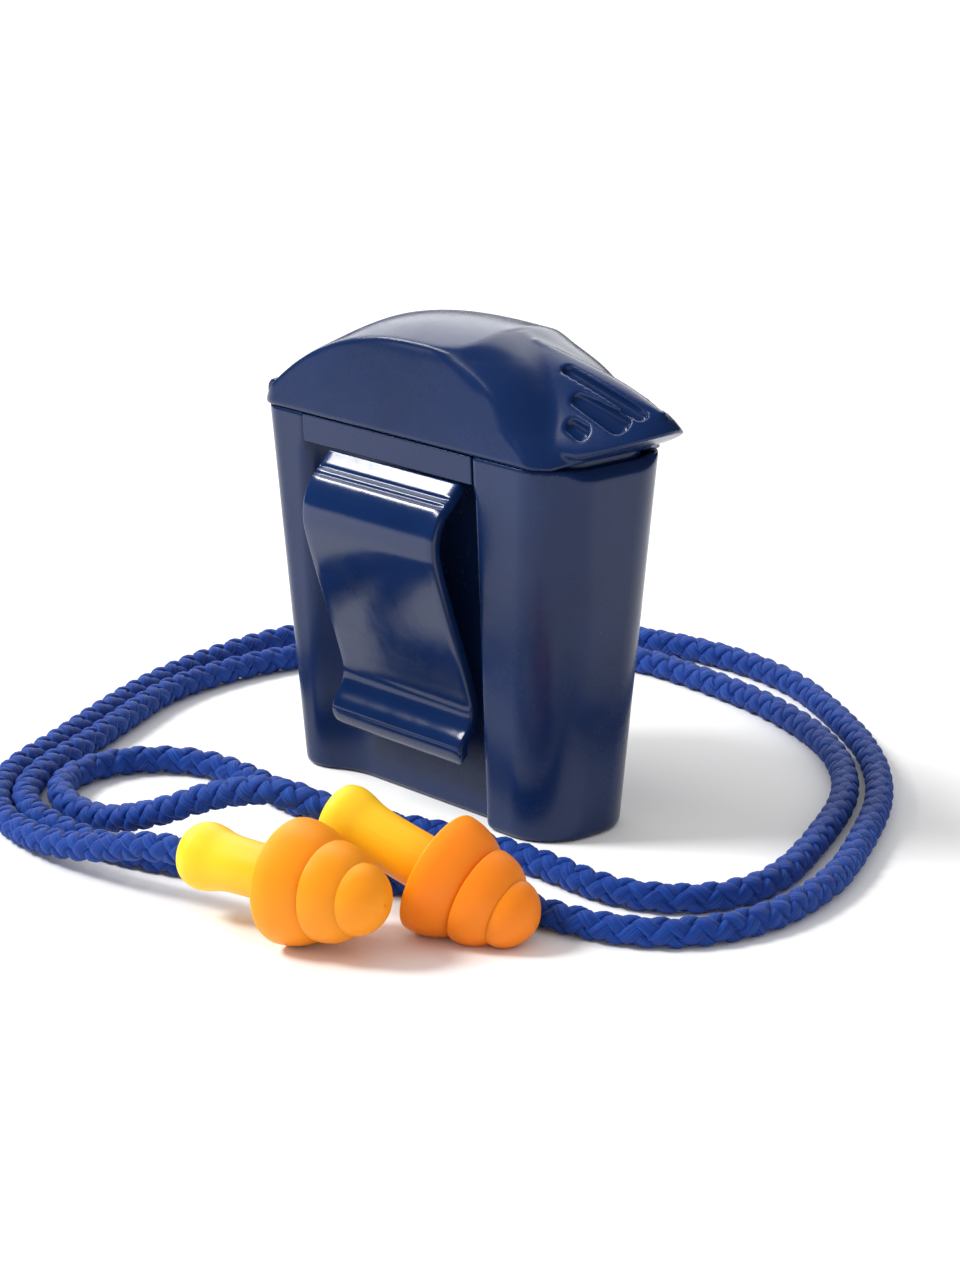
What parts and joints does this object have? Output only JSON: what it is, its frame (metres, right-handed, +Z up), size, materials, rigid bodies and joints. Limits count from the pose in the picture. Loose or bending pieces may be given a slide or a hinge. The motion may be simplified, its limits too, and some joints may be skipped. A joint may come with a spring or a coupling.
{
  "type": "corded ear plugs with belt-clip case",
  "caption": "Pair of triple-flange reusable ear plugs on a braided neck cord, coiled round a slim hinged-lid carrying case with a sprung belt clip.",
  "frame": {"origin": "middle of the case's flat bottom, on the table", "axes": "+Z up, +X towards the lid's thumb beak, -Y towards the belt clip"},
  "size_m": [0.1068, 0.1014, 0.0503],
  "materials": {
    "case_plastic": "smooth moulded, glossy navy",
    "pin_steel": "plain drawn pin",
    "plug_elastomer": "satin, slightly translucent orange",
    "cord_braid": "braided polyester, royal blue"
  },
  "bodies": {
    "case": {"case_tub": "case_plastic", "clip_plate": "case_plastic", "hinge_pin": "pin_steel"},
    "lid": {"case_lid": "case_plastic"},
    "clip": {"clip_arm": "case_plastic"},
    "corded_plugs": {"plug_left": "plug_elastomer", "plug_right": "plug_elastomer", "cord": "cord_braid"}
  },
  "joints": [
    {"name": "lid_hinge", "type": "hinge", "parent": "case", "child": "lid", "pos_m": [-0.02485, 0, 0.0401], "axis": [0, -1, 0], "range_deg": [0, 100]},
    {"name": "clip_flex", "type": "hinge", "parent": "case", "child": "clip", "pos_m": [-0.0016, -0.0079, 0.0359], "axis": [-1, 0, 0], "range_deg": [0, 9], "stiffness_Nm_per_rad": 0.05},
    {"name": "plugs_lift", "type": "slide", "parent": "case", "child": "corded_plugs", "axis": [0, -0.1951, 0.9808], "range_m": [0, 0.07]}
  ]
}
